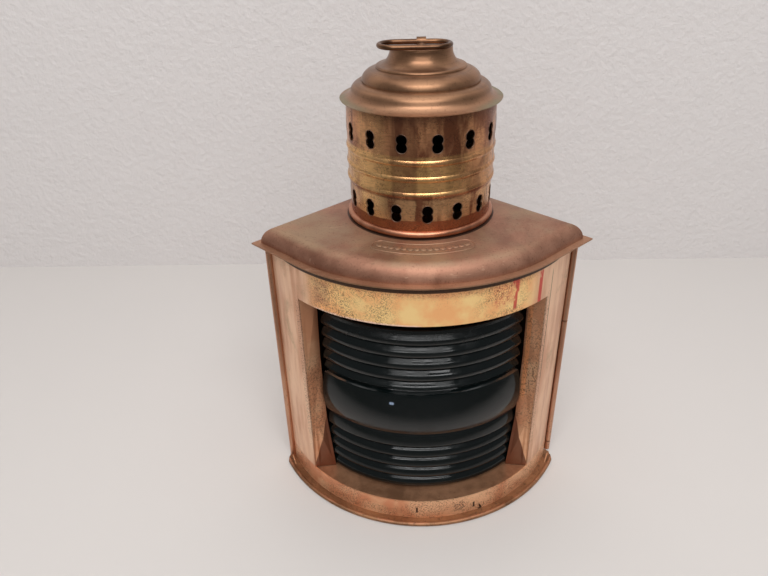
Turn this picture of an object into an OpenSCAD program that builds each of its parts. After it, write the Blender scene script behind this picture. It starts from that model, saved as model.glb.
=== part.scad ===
// Quarter-round starboard lantern in copper and brass sheet, with its oil lamp inside.
// Millimetres, +Z up, standing on Z = 0. The origin is under the chimney, the front faces -Y.

/* [Body plan] */
// Distance of the front arc's centre behind the chimney axis
arc_y = 30.5; // [27:0.5:34]
// Outer radius of the curved front plate
front_r = 119.4; // [115:0.2:124]
// Chimney axis to the outer face of each flat side wall
wall_d = 67.4; // [65:0.2:70]
// Thickness of the body sheets
sheet = 1; // [0.8:0.1:1.2]
// Gap between sheets that touch lightly
fit_gap = 0.2; // [0.1:0.05:0.3]

/* [Base] */
// How far the base brim stands out in front of the front plate
brim_w = 8.4; // [5:0.1:10]
// Diameter of the rolled edge of the brim
brim_roll = 3.2; // [2.4:0.1:4]
// How far the ears of the brim stand out past the hinge line
ear_out = 2.75; // [1:0.05:3.5]
// Height of the turned-up ears of the brim
ear_h = 5.4; // [4:0.1:5.6]
// Height of the raised floor that carries the lens and the lamp
floor_h = 17.8; // [15:0.1:22]

/* [Front window] */
// Half angle of the window opening
window_half = 46.5; // [42:0.5:48]
// Height of the plain band over the window
top_band = 27; // [22:0.5:31]
// Height of the front plate
plate_top = 207; // [204:0.5:208]
// Angle by which the reveals lean in at the foot of the window
lean_low = 5.3; // [3:0.1:6]
// Angle by which the reveals lean in at mid height
lean_mid = 0.5; // [0.2:0.1:1.5]

/* [Lens] */
// Set-back of the ring crests of the lens behind the face of the front plate
lens_set = 14.4; // [13.4:0.1:16.4]
// Depth of the grooves between the rings
ring_depth = 2.7; // [2:0.1:3.5]
// Height of the whole lens
lens_h = 150; // [148:0.5:152]
// Number of rings below and above the plain belt
rings = 5; // [4:1:5]
// Pitch of the lens rings
ring_pitch = 10.3; // [9.8:0.1:10.4]
// Height of the crest of the lowest ring above the foot of the lens
ring_first = 2.9; // [2.5:0.1:3.5]
// Height of the short face of a ring
ring_short = 4; // [3:0.1:5]
// Height of the flat crest under the belt
crest_flat = 5.8; // [4:0.1:7]
// Height of the smooth middle belt
belt_h = 37; // [34:0.5:38]
// Bulge of the belt beyond the ring crests
belt_bulge = 3.2; // [2:0.1:4]
// Rounding of the ring crests
crest_r = 0.9; // [0.5:0.1:1.2]
// Thickness of the glass from the ring crests to the smooth back
lens_t = 7; // [6:0.1:9]
// Angle by which each end of the lens stays inside the edge of the window
lens_inset = 2.3; // [1.9:0.1:3.5]

/* [Roof] */
// Gap between the front plate and the underside of the roof's flange
roof_gap = 2.2; // [1.5:0.1:5]
// How far the roof's front edge stands out past the front plate
roof_over = 3.2; // [2.1:0.1:6.6]
// Half angle where the front edge runs out straight to the tips
roof_run_out = 43.5; // [40:0.5:46]
// How far the roof's side edges stand out past the side walls
roof_side = 1; // [0.6:0.1:4.6]
// Width of the flat flange round the roof
flange_w = 4.8; // [4:0.1:7]
// Rise of the roof shoulder above its flange
shoulder_h = 12.2; // [8:0.1:14]
// Width of the rounded shoulder
shoulder_w = 10.5; // [9:0.1:14]
// Rise of the roof from its shoulder to the chimney
slope_h = 2; // [1.5:0.1:6]

/* [Chimney] */
// Outer radius of the lower collar
collar_r = 49.5; // [46:0.1:52]
// Height of the collar's lower edge above the roof flange
collar_drop = 9; // [7:0.5:11]
// Height of the collar that shows between the roof and the drum
collar_show = 27.6; // [26:0.1:31]
// Height of the upper drum
drum_h = 54.8; // [50:0.1:62]
// Length of the collar inside the drum
collar_lap = 6; // [4:0.5:8]
// Thickness of the chimney sheets
flue_t = 0.8; // [0.6:0.1:1]
// Running gap between collar and drum
slip = 0.1; // [0.05:0.05:0.2]
// Radius of each round half of a figure-eight vent
vent_r = 3.65; // [3:0.05:4]
// Distance between the two halves of a vent
vent_step = 4.9; // [4:0.1:5.5]
// Distance of the upper row of vents below the upper edge of the drum
vent_high_drop = 18.8; // [14:0.1:22]
// Distance of the lower row of vents below the lower edge of the drum
vent_low_drop = 11; // [9:0.1:13]
// Number of vents in the upper row
vents_high = 14; // [10:1:16]
// Turn of the first upper vent from the front
turn_high = 10; // [0:0.5:24]
// Number of vents in the lower row
vents_low = 15; // [10:1:16]
// Turn of the first lower vent from the front
turn_low = 3.5; // [0:0.5:24]
// Half width of each raised bead round the drum
bead_half = 1.9; // [1.4:0.1:2.4]
// How far each bead stands out
bead_out = 0.8; // [0.6:0.05:1.1]
// Height of each raised bead above the one below it
bead_step = 10.6; // [9:0.1:11.5]
// Radius of the half-round ring at the foot of the collar
foot_r = 2.4; // [1.8:0.1:3]
// Radius of the inner flue tube
inner_r = 30; // [24:0.5:36]
// Length of the inner flue tube below its flange
inner_drop = 26; // [18:0.5:28]

/* [Crown] */
// Radius of the crown's rim
crown_r = 54.4; // [53:0.1:58]
// Radius of the crown's flat top
disc_r = 20.4; // [19.8:0.1:21]
// Radius and depth below the top of each stepped tier
tiers = [[29.1, 11.7], [38.9, 20], [46.3, 26]];
// Depth of the rim below the flat top
rim_drop = 31.8; // [31:0.1:33]
// Radius of the rounded nose of each tier
nose = 1.5; // [1:0.1:2]

/* [Hanging bail] */
// Thickness of the bail wire
bail_wire = 3.2; // [2.5:0.1:3.6]
// Length of the bail across its straight sides' ends
bail_len = 45; // [40:0.5:50]
// Distance between the two long sides of the bail
bail_depth = 21.5; // [21:0.5:26]
// How far the bail has slid sideways in its strap
bail_slip = -4.5; // [-5:0.5:5]
// Width of the strap that holds the bail
strap_w = 6; // [5:0.5:10]
// Running gap of the bail in its strap
strap_gap = 0.1; // [0.05:0.01:0.1]

/* [Door] */
// Height of the door's lower edge
door_z = 6.6; // [6:0.1:8]
// Distance of the door's upper edge below that of the front plate
door_drop = 2; // [1:0.1:4]
// Radius of the rolled hinge barrel
barrel_r = 2.5; // [2.3:0.1:2.8]
// Radius of the hinge pin
pin_r = 1.45; // [1.2:0.05:1.5]
// Running clearance of the hinge pin and other small pivots
run_gap = 0.05; // [0.03:0.01:0.1]
// Height of the lower cut across the barrel
knuckle_low = 15.5; // [14:0.1:17]
// Height of the upper cut across the barrel
knuckle_high = 138.8; // [130:0.1:150]
// Width of each cut across the barrel
knuckle_cut = 0.8; // [0.5:0.1:1.2]
// Dark gap between the front plate and the barrel
plate_gap = 1.3; // [1:0.1:2]
// Width of the fixed strip between the door and the rear corner
return_w = 12; // [11:0.5:14]
// Number of air holes low in each side wall
air_holes = 7; // [4:1:9]
// Radius of the air holes
air_r = 3; // [2:0.1:4]
// Length of the turning catch
catch_len = 24; // [20:0.5:28]
// Width of the turning catch
catch_w = 8; // [7:0.5:9]
// Height of the catch's pivot
catch_z = 106; // [80:1:140]

/* [Oil lamp] */
// Radius of the oil font
font_r = 33; // [30:0.5:36]
// Height of the oil font
font_h = 38; // [34:0.5:40]
// Radius of the burner's cup
cup_r = 16; // [15.5:0.1:17]
// Height of the burner's cup above its collar
cup_h = 13; // [12.5:0.1:15]
// Width of the flat wick
wick_w = 14; // [12:0.5:15]
// Thickness of the flat wick
wick_t = 2; // [1.6:0.1:2.4]
// Radius of the wick wheels
wheel_r = 4; // [3.8:0.1:4.2]
// Radius of the wick spindle
spindle_r = 1.2; // [1:0.1:1.4]
// Radius of the spindle's knob
knob_r = 8; // [7:0.5:9]
// Radius of the glass chimney's foot
glass_r = 18; // [17.5:0.1:19]
// Height of the glass chimney
glass_h = 104; // [95:1:112]

/* [Hidden] */
$fn = 96;

copper = "#a96f52";
brass = "#c79a5c";
bronze = "#8a6248";
steel = "#7c7a76";
glass_green = "#14302c";
cotton = "#e6dfcc";

// Lengths that only need to be larger than what they cut
far = 3 * front_r;
over = 1;

arc_local = arc_y / sqrt(2);
inner_r_front = front_r - sheet;
inner_d = wall_d - sheet;

// Hinge barrel in the side wall's frame: its centre lies just outside the front plate's circle
barrel_x = wall_d - barrel_r;
barrel_out = 1.5;
barrel_y = arc_local - sqrt(pow(front_r + barrel_out, 2) - pow(barrel_x - arc_local, 2));
barrel_half = 135 + atan2(barrel_y - arc_local, barrel_x - arc_local);
left_half = barrel_half - asin(sqrt(pow(barrel_r, 2) - pow(barrel_out, 2)) / front_r);
right_half = barrel_half - asin((barrel_r + plate_gap) / front_r);
bore_r = pin_r + run_gap;
hinge_x = (barrel_x - barrel_y) / sqrt(2);
corner_x = hinge_x - 3 * barrel_r;
ear_x = hinge_x + ear_out;

window_top = plate_top - top_band;
window_low = floor_h + 0.4;
window_h = window_top - window_low;
lens_r = front_r - lens_set;
lens_half = window_half - lens_inset;
reveal_r = lens_r + 3 * fit_gap;

lens_z = floor_h;
lens_back = lens_r - lens_t;
groove_r = lens_r - ring_depth;
lens_top = lens_z + lens_h;
belt_z = lens_z + lens_h / 2;

roof_z = plate_top + roof_gap;
roof_r = front_r + roof_over;
roof_d = wall_d + roof_side;
roof_top = roof_z + sheet + shoulder_h + slope_h;

drum_z = roof_top + collar_show;
drum_r = collar_r + slip + flue_t;
collar_top = drum_z + collar_lap;
collar_z = roof_z + collar_drop;

drum_top = drum_z + drum_h;
crown_t = 0.9;
seat_z = drum_top + crown_t;
crown_z = seat_z - 1.5;
crown_top = crown_z + rim_drop;
vent_high = drum_top - vent_high_drop;
vent_low = drum_z - vent_low_drop;
wire_r = bail_wire / 2;
bail_z = crown_top + 0.3 + wire_r;
bail_y = 0;
strap_in = wire_r + strap_gap;
strap_out = strap_in + 1.2;
strap_t = 1;
strap_foot = strap_out + 6;

door_top = plate_top - door_drop;
return_y = wall_d - return_w;
door_edge = return_y - 0.6;
catch_y = wall_d - return_w / 2 - 0.6;
catch_t = 1.8;
rivet_r = 1.5;

// The lamp stands on the raised floor under the chimney, its spindle turned to the door
font_z = floor_h + fit_gap;
font_top = font_z + font_h;
collar_h = 6;
neck_r = 11;
cup_z = font_top + collar_h;
cup_top = cup_z + cup_h;
tube_t = 0.8;
wick_gap = 0.2;
tube_w = wick_w + 2 * (wick_gap + tube_t);
tube_d = wick_t + 2 * (wick_gap + tube_t);
tube_top = cup_top + 8;
wick_top = tube_top + 2;
wick_low = font_z + 10;
spindle_z = cup_z + 6;
spindle_y = wick_t / 2 + wick_gap + wheel_r;
knob_x = font_r + 5;
glass_t = 1.5;
glass_z = cup_top + 2.8;

function arc(c, r, a0, a1, n) =
    [for (i = [0:n]) let (a = a0 + (a1 - a0) * i / n) c + r * [cos(a), sin(a)]];
function flipped(list) = [for (i = [len(list) - 1:-1:0]) list[i]];
// Point at radius r and half angle a about the front arc's centre
function fan(r, a) = [r * sin(a), arc_y - r * cos(a)];
// Closed outline of a sheet that follows a path of revolution, t thick towards the inside
function skin(path, t) = concat(path, [for (p = flipped(path)) [max(p[0] - t, 0), p[1] - t]]);

// Frame of a side wall: +x points out of the wall, +y runs to the rear corner
module right_side() { rotate(45) children(); }
module left_side() { mirror([1, 0, 0]) rotate(45) children(); }
module lamp_frame() { rotate(45) children(); }

// Block with the lantern's plan: front radius r, side faces at d from the chimney axis
module plan_block(r, d, h) {
    intersection() {
        translate([0, arc_y, 0]) cylinder(r = r, h = h);
        rotate(45) translate([d - far, d - far, 0]) cube([far, far, h]);
    }
}

// The same plan inside the walls, its two front corners cut off square beside the hinge
module inner_block(inset, h) {
    intersection() {
        plan_block(inner_r_front - fit_gap - inset, inner_d - fit_gap - inset, h);
        translate([inset - corner_x, -far / 2, -over]) cube([2 * (corner_x - inset), far, h + 2 * over]);
    }
}

// Upright curved wall between two radii and two half angles, the right side counting as plus
module arc_wall(r0, r1, z0, z1, a0, a1) {
    translate([0, arc_y, z0]) rotate(a0 - 90)
        rotate_extrude(angle = a1 - a0) translate([r0, 0]) square([r1 - r0, z1 - z0]);
}

module tube(r0, r1, z0, z1) {
    translate([0, 0, z0]) difference() {
        cylinder(r = r1, h = z1 - z0);
        translate([0, 0, -over]) cylinder(r = r0, h = z1 - z0 + 2 * over);
    }
}

// Base: flat sheet with a rolled front edge and turned-up ears
brim_r = front_r + brim_w;
roll_r = brim_roll / 2;
ear_half = asin(ear_x / (brim_r - roll_r));

module base_plate() {
    end = 180 + asin((roll_r - sheet) / roll_r);
    profile = concat([[0, 0]], arc([brim_r - roll_r, roll_r], roll_r, -90, end, 14), [[0, sheet]]);
    color(bronze) intersection() {
        translate([0, arc_y, 0]) rotate_extrude() polygon(profile);
        rotate(45) translate([wall_d - far, wall_d - far, -over]) cube([far, far, far]);
        translate([-ear_x, -far / 2, -over]) cube([2 * ear_x, far, far]);
    }
}

module base_ears() {
    color(bronze) for (s = [0, 1]) mirror([s, 0, 0]) {
        ear = fan(brim_r - brim_roll - sheet - 1, ear_half - 1);
        translate([ear[0], ear[1], sheet]) rotate(ear_half) rotate([90, 0, 0])
            linear_extrude(height = sheet)
                polygon([[-6, 0], [2, 0], [2.6, ear_h - sheet], [1, ear_h - sheet]]);
    }
}

// Raised inner floor: a tray turned upside down inside the body's foot
module raised_floor() {
    color(bronze) translate([0, 0, sheet]) difference() {
        inner_block(0, floor_h - sheet);
        translate([0, 0, -sheet]) inner_block(sheet, floor_h - sheet);
    }
}

module front_plate() {
    color(brass) difference() {
        arc_wall(inner_r_front, front_r, sheet, plate_top, -left_half, right_half);
        arc_wall(front_r - 5, front_r + 5, window_low, window_top, -window_half, window_half);
    }
}

// Strips folded in from both sides of the window, sharply at the foot and more openly above.
// Each level has its height and the angles by which the inner edge and the soft bend lean in
reveal_levels = [[0, lean_low, 0.9], [0.3, lean_mid + 1, 0.2], [0.65, lean_mid, 0.1], [1, lean_mid + 0.9, 0.2]];

function reveal_ring(level) =
    let (r = inner_r_front - sheet / 20, turn = asin(sheet / front_r),
        path = [[r, 0], [r - 2.4 * sheet, level[2]], [reveal_r, level[1]]],
        face = [for (p = path) fan(p[0], window_half - p[1])],
        back = [for (p = flipped(path)) fan(p[0], window_half - p[1] + turn)])
    lifted(concat(face, back), window_low + level[0] * window_h);

module window_reveals() {
    rows = [for (level = reveal_levels) reveal_ring(level)];
    n = len(rows[0]);
    m = len(rows);
    color(brass) for (s = [0, 1]) mirror([s, 0, 0])
        polyhedron(points = [for (row = rows) each row],
            faces = concat(
                [for (k = [0, 1]) each [[k, n - 1 - k, k + 1], [k + 1, n - 1 - k, n - 2 - k]]],
                [for (k = [0, 1]) let (t = (m - 1) * n) each
                    [[t + k, t + k + 1, t + n - 1 - k], [t + k + 1, t + n - 2 - k, t + n - 1 - k]]],
                [for (j = [0:m - 2]) for (i = [0:n - 1]) let (a = j * n + i, b = j * n + (i + 1) % n)
                    each [[a, b, b + n], [a, b + n, a + n]]]));
}

// Row of air holes low in a side wall
module air_row() {
    span = return_y - barrel_y - 40;
    for (i = [0:air_holes - 1])
        translate([inner_d - over, barrel_y + 20 + span * (i + 0.5) / air_holes, floor_h + 12])
            rotate([0, 90, 0]) cylinder(r = air_r, h = sheet + 2 * over);
}

module left_wall() {
    color(copper) {
        left_side() difference() {
            union() {
                translate([inner_d, barrel_y, sheet]) cube([sheet, wall_d - barrel_y, plate_top - sheet]);
                translate([barrel_x, barrel_y, sheet]) cylinder(r = barrel_r, h = plate_top - sheet);
            }
            translate([barrel_x, barrel_y, 0]) cylinder(r = bore_r, h = far);
            air_row();
        }
        right_side() translate([inner_d, return_y, sheet]) cube([sheet, return_w - sheet, plate_top - sheet]);
    }
}

// Band inside the top of the walls that carries the roof
band_h = 12;

module head_band() {
    color(bronze) translate([0, 0, roof_z - band_h]) difference() {
        inner_block(0, band_h);
        translate([0, 0, -over]) inner_block(sheet, band_h + 2 * over);
    }
}

// Hinge: fixed knuckles on a post behind the front plate, a pin, and the door's long knuckle
post_web_y = barrel_y + 1.3;
post_x = barrel_x - barrel_r - 0.4;

module knuckle(z0, z1) {
    translate([barrel_x, barrel_y, z0]) cylinder(r = barrel_r, h = z1 - z0);
}

module pin_bore() {
    translate([barrel_x, barrel_y, -over]) cylinder(r = bore_r, h = far);
}

module fixed_leaf(z0, z1) {
    knuckle(z0, z1);
    translate([post_x - sheet, post_web_y, z0]) cube([sheet + barrel_r - bore_r + 0.4, sheet, z1 - z0]);
}

module hinge_post() {
    color(brass) {
        right_side() difference() {
            union() {
                translate([post_x - 5, post_web_y, sheet]) cube([5, sheet, door_top - sheet]);
                fixed_leaf(door_z, knuckle_low - knuckle_cut / 2);
                fixed_leaf(knuckle_high + knuckle_cut / 2, door_top);
            }
            pin_bore();
        }
        r = inner_r_front - fit_gap / 2;
        arc_wall(r - sheet, r, floor_h + fit_gap, roof_z - band_h - fit_gap, right_half - 5, right_half);
    }
}

module hinge_pin() {
    color(steel) right_side() translate([barrel_x, barrel_y, 0]) {
        translate([0, 0, door_z - 1]) cylinder(r = pin_r, h = door_top - door_z + 1.4);
        translate([0, 0, door_top]) cylinder(r = barrel_r - 0.2, h = 1.2);
    }
}

module side_door() {
    clear_y = barrel_y + barrel_r + 0.7;
    low = knuckle_low + knuckle_cut / 2;
    high = knuckle_high - knuckle_cut / 2;
    color(copper) right_side() difference() {
        union() {
            translate([inner_d, clear_y, door_z]) cube([sheet, door_edge - clear_y, door_top - door_z]);
            translate([inner_d, barrel_y, low]) cube([sheet, clear_y - barrel_y + over, high - low]);
            knuckle(low, high);
        }
        pin_bore();
        air_row();
    }
}

// Strip behind the door's free edge, joggled so that the door closes against it
module latch_jamb() {
    x = inner_d;
    step = fit_gap + 0.1;
    color(copper) right_side() translate([0, 0, floor_h + fit_gap])
        linear_extrude(height = roof_z - band_h - floor_h - 2 * fit_gap)
            polygon([[x, wall_d - sheet - 0.5], [x, return_y + 2],
                [x - step, return_y], [x - step, return_y - 8],
                [x - step - sheet, return_y - 8], [x - step - sheet, return_y], [x - sheet, return_y + 2],
                [x - sheet, wall_d - sheet - 0.5]]);
}

module door_catch() {
    x = wall_d + fit_gap;
    color(brass) right_side() difference() {
        union() {
            for (z = [catch_z, catch_z - catch_len + catch_w])
                translate([x, catch_y, z]) rotate([0, 90, 0]) cylinder(r = catch_w / 2, h = catch_t);
            translate([x, catch_y - catch_w / 2, catch_z - catch_len + catch_w])
                cube([catch_t, catch_w, catch_len - catch_w]);
            translate([x, catch_y - catch_w / 2, catch_z - catch_len + catch_w - 1]) cube([7, catch_w, 1.4]);
        }
        translate([x - over, catch_y, catch_z]) rotate([0, 90, 0])
            cylinder(r = rivet_r + run_gap, h = catch_t + 2 * over);
    }
}

module catch_rivet() {
    x = wall_d + fit_gap + catch_t + 0.1;
    color(steel) right_side() {
        translate([wall_d, catch_y, catch_z]) rotate([0, 90, 0]) cylinder(r = rivet_r, h = x - wall_d + 0.2);
        translate([x, catch_y, catch_z]) rotate([0, 90, 0]) cylinder(r1 = 3, r2 = 2, h = 1.4);
    }
}

// Lens: a curved band of glass with stepped rings below and above a smooth bulging belt
low_crest = lens_z + ring_first;
high_crest = lens_top - ring_first - 2.7 - ring_short;
belt_low = belt_z - belt_h / 2;
belt_arc_r = (pow(belt_h / 2, 2) + pow(belt_bulge, 2)) / (2 * belt_bulge);
belt_turn = asin(belt_h / 2 / belt_arc_r);

// Crest of a ring, rounded from the short face to the long one; turn is 1 below the belt and -1 above
function crest(z, turn) =
    let (points = arc([lens_r - crest_r, z], crest_r, -50 * turn, 75 * turn, 4))
    turn > 0 ? points : flipped(points);
function lower_rings() = [for (k = [0:rings - 1]) let (z = low_crest + k * ring_pitch)
    each concat([[groove_r, max(z - ring_short, lens_z)]], crest(z, 1))];
function upper_rings() = [for (k = [rings - 1:-1:0]) let (z = high_crest - k * ring_pitch)
    each concat(crest(z, -1), [[groove_r, z + ring_short]])];

module lens() {
    last = low_crest + (rings - 1) * ring_pitch;
    profile = concat([[lens_back, lens_z]], lower_rings(),
        [[lens_r, last + crest_flat], [groove_r, belt_low - 1.5]],
        arc([lens_r + belt_bulge - belt_arc_r, belt_z], belt_arc_r, -belt_turn, belt_turn, 10),
        [[groove_r, belt_z + belt_h / 2 + 1.5]], upper_rings(),
        [[groove_r, lens_top], [lens_back, lens_top]]);
    color(glass_green) translate([0, arc_y, 0]) rotate(-lens_half - 90)
        rotate_extrude(angle = 2 * lens_half) polygon(profile);
}

// Upright angle strip at one end of the lens: one leg behind the glass, the other behind the reveal
module lens_channel(s) {
    r0 = lens_back - 2 * fit_gap;
    r1 = inner_r_front - 1.5 * fit_gap;
    inside = window_half + asin(sheet / front_r) + 0.4;
    outside = inside + asin(sheet / front_r);
    from = lens_half - 3;
    mirror([s, 0, 0]) difference() {
        arc_wall(r0 - sheet, r1, floor_h, lens_top, from, outside);
        arc_wall(r0, r1 + over, floor_h - over, lens_top + over, from - 1, inside);
    }
}

module lens_channel_left() { color(copper) lens_channel(1); }
module lens_channel_right() { color(copper) lens_channel(0); }

// Curved angle over the top edge of the lens, between the two upright strips
module lens_top_channel() {
    z = lens_top;
    end = lens_half - 3.4;
    r0 = lens_back - 2 * fit_gap;
    r1 = lens_r + 2 * fit_gap;
    lip = 4 * sheet;
    color(copper) translate([0, arc_y, 0]) rotate(-end - 90) rotate_extrude(angle = 2 * end)
        polygon([[r0 - sheet, z - lip], [r0, z - lip], [r0, z], [r1 + sheet, z], [r1 + sheet, z + sheet],
            [r0 - sheet, z + sheet]]);
}

// Roof: one pressed sheet with a flat flange, a rounded shoulder and a low slope up to the chimney
run_pts = 4;
side_pts = 8;
arc_pts = 36;

// Tip of the roof outline, inset by d: where the straight run-out meets the side edge
function tip(d) =
    let (k = (roof_d - d) * sqrt(2), s = sin(roof_run_out), c = cos(roof_run_out),
        x = (roof_r - d - c * arc_y + c * k) / (s + c))
    [x, k - x];
function blend(a, b, n) = [for (i = [1:n]) a + (b - a) * i / (n + 1)];
function half_outline(d) =
    let (run = fan(roof_r - d, roof_run_out), rear = [0, (roof_d - d) * sqrt(2)])
    concat([run], blend(run, tip(d), run_pts), [tip(d)], blend(tip(d), rear, side_pts));
function roof_outline(d) =
    let (right = half_outline(d))
    concat([for (i = [1:arc_pts - 1]) fan(roof_r - d, roof_run_out * (2 * i / arc_pts - 1))],
        right, [[0, (roof_d - d) * sqrt(2)]], [for (p = flipped(right)) [-p[0], p[1]]]);

function lifted(outline, z) = [for (p = outline) [p[0], p[1], z]];
// The same number of points on a circle, each in the direction of its outline point
function round_ring(outline, r, z) = [for (p = outline) [r * p[0] / norm(p), r * p[1] / norm(p), z]];

module loft(rows) {
    n = len(rows[0]);
    m = len(rows);
    middles = [[0, 0, rows[0][0][2]], [0, 0, rows[m - 1][0][2]]];
    polyhedron(points = concat([for (row = rows) each row], middles),
        faces = [for (i = [0:n - 1]) each concat(
            [[m * n, i, (i + 1) % n], [m * n + 1, (m - 1) * n + (i + 1) % n, (m - 1) * n + i]],
            [for (j = [0:m - 2]) each [
                [j * n + i, (j + 1) * n + (i + 1) % n, j * n + (i + 1) % n],
                [j * n + i, (j + 1) * n + i, (j + 1) * n + (i + 1) % n]]])]);
}

// Rows of the roof's upper face; the under face is the same one moved in and down
function roof_rows(inset, drop) =
    let (flat = flange_w + inset, z = roof_z + sheet - drop, top = flat + shoulder_w)
    concat([for (a = [10:20:90])
            lifted(roof_outline(flat + shoulder_w * (1 - cos(a))), z + shoulder_h * sin(a))],
        [round_ring(roof_outline(top), collar_r + 1.5, z + shoulder_h + slope_h)]);

module roof() {
    color(bronze) difference() {
        union() {
            loft([lifted(roof_outline(0), roof_z), lifted(roof_outline(0), roof_z + sheet)]);
            loft(concat([lifted(roof_outline(flange_w), roof_z)], roof_rows(0, 0)));
        }
        loft(concat([lifted(roof_outline(flange_w + sheet), roof_z - over)], roof_rows(sheet, sheet)));
        cylinder(r = collar_r + slip, h = far);
    }
}

// Figure-eight vents round a tube, the first one turned from the front
module vents(n, z, turn) {
    for (i = [0:n - 1]) rotate(360 * i / n + turn - 90) for (s = [-1, 1])
        translate([collar_r - 5, 0, z + s * vent_step / 2]) rotate([0, 90, 0]) cylinder(r = vent_r, h = 10);
}

module chimney_collar() {
    color(copper) difference() {
        tube(collar_r - flue_t, collar_r, collar_z, collar_top);
        vents(vents_low, vent_low, turn_low);
    }
}

module foot_ring() {
    color(brass) rotate_extrude()
        translate([collar_r, roof_top + foot_r]) intersection() {
            circle(r = foot_r);
            translate([0, -foot_r]) square(2 * foot_r);
        }
}

module drum_bead(z) {
    r = (pow(bead_half, 2) + pow(bead_out, 2)) / (2 * bead_out);
    wall = drum_r - flue_t / 2;
    rotate_extrude() translate([0, z]) intersection() {
        translate([drum_r + bead_out - r, 0]) circle(r = r);
        translate([wall, -r]) square([r, 2 * r]);
    }
}

module vent_drum() {
    color(copper) {
        difference() {
            tube(drum_r - flue_t, drum_r, drum_z, drum_top);
            vents(vents_high, vent_high, turn_high);
        }
        for (i = [0:2]) drum_bead(drum_z + bead_half + 0.5 + i * bead_step);
    }
}

// Inner flue: a flanged tube that keeps the incoming air apart from the hot gases
module inner_flue() {
    color(copper) {
        tube(inner_r, drum_r - flue_t - fit_gap, collar_top, collar_top + flue_t);
        tube(inner_r - flue_t, inner_r, collar_top - inner_drop, collar_top + 12);
    }
}

// Crown: a spun cap of three stepped tiers over a flat top, seated on the drum's upper edge
function tier_nose(i) = arc([tiers[i][0] - nose, crown_top - tiers[i][1] - 0.3], nose, 90, -20, 4);
function tier_run(i) =
    let (low = tiers[i + 1])
    ([tiers[i][0], crown_top - tiers[i][1] - nose] + [low[0] - nose, crown_top - low[1] + nose]) / 2;
crown_path = concat([[0, crown_top]], arc([disc_r - nose, crown_top - nose], nose, 90, 10, 4),
    arc([disc_r + 11.1, crown_top - 0.5], 11.1, 188, 245, 6),
    tier_nose(0), [tier_run(0) + [0.7, 0.7]], tier_nose(1), [tier_run(1) + [0.7, 0.7]], tier_nose(2),
    [[drum_r - flue_t - 1, seat_z + 0.8], [drum_r - flue_t - 0.2, seat_z], [drum_r + crown_t + 0.1, seat_z]],
    arc([crown_r - 0.8, crown_z], 0.8, 70, -70, 4));

module crown() {
    color(brass) rotate_extrude() polygon(skin(crown_path, crown_t));
}

module bail_strap() {
    h = bail_z - crown_top;
    color(brass) translate([0, bail_y, crown_top]) rotate([90, 0, 90])
        translate([0, 0, -strap_w / 2]) difference() {
            linear_extrude(height = strap_w) intersection() {
                union() {
                    translate([0, h]) circle(r = strap_out);
                    translate([-strap_out, 0]) square([2 * strap_out, h]);
                    translate([-strap_foot, 0]) square([2 * strap_foot, strap_t]);
                }
                translate([-far, 0]) square([2 * far, far]);
            }
            translate([0, h, -over]) cylinder(r = strap_in, h = strap_w + 2 * over);
            translate([-strap_in, -h, -over]) cube([2 * strap_in, 2 * h, strap_w + 2 * over]);
        }
}

module strap_rivets() {
    color(steel) for (s = [-1, 1]) translate([0, bail_y + s * (strap_out + 3.2), crown_top + strap_t])
        intersection() {
            translate([0, 0, -1.2]) sphere(r = 2.3);
            cylinder(r = 3, h = 2);
        }
}

// Bail: an oval of wire, hinged on the long side that runs through the strap
module hanging_bail() {
    end_r = bail_depth / 2;
    half = bail_len / 2 - end_r;
    color(brass) translate([bail_slip, bail_y, bail_z]) {
        for (y = [0, -bail_depth])
            translate([-half, y, 0]) rotate([0, 90, 0]) cylinder(r = wire_r, h = 2 * half);
        for (s = [-1, 1]) translate([s * half, -end_r, 0]) rotate(s > 0 ? -90 : 90)
            rotate_extrude(angle = 180) translate([end_r, 0]) circle(r = wire_r);
    }
}

// Oil lamp
module lamp_ring() {
    color(brass) tube(font_r + 0.6, font_r + 0.6 + sheet, floor_h, floor_h + 7);
}

module oil_font() {
    outer = concat([[0, font_z], [font_r - 2, font_z]], arc([font_r - 2, font_z + 2], 2, -90, 0, 3),
        arc([font_r - 8, font_top - 9], 8, 0, 80, 6), [[neck_r, font_top]]);
    inner = concat([[0, font_z + sheet], [font_r - 3, font_z + sheet]],
        arc([font_r - 3, font_z + 3], 2, -90, 0, 3), arc([font_r - 9, font_top - 10], 8, 0, 80, 6),
        [[neck_r, font_top - sheet]]);
    color(brass) rotate_extrude() polygon(concat(outer, flipped(inner)));
}

module font_collar() {
    color(brass) {
        tube(neck_r + 0.1, neck_r + 3, font_top, cup_z - 0.2);
        for (z = [font_top + 1.6, font_top + 3.4]) tube(neck_r + 2.5, neck_r + 3.6, z, z + 0.9);
    }
}

// Cup of the burner: its threaded neck stands in the font's collar, air enters through its holes
module burner_cup() {
    t = 0.8;
    color(brass) difference() {
        rotate_extrude() polygon([[neck_r - t, font_top - 2], [neck_r - 0.05, font_top - 2],
            [neck_r - 0.05, cup_z], [cup_r, cup_z + 2], [cup_r, cup_top], [cup_r - t, cup_top],
            [cup_r - t, cup_z + 2 + t], [neck_r - t, cup_z + t]]);
        for (i = [0:11]) rotate(15 + 30 * i) translate([cup_r - 2, 0, cup_top - 3]) rotate([0, 90, 0])
            cylinder(r = 1.2, h = 4);
        lamp_frame() translate([-cup_r - 2, spindle_y, spindle_z]) rotate([0, 90, 0])
            cylinder(r = spindle_r + run_gap, h = 2 * cup_r + 4);
    }
}

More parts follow.
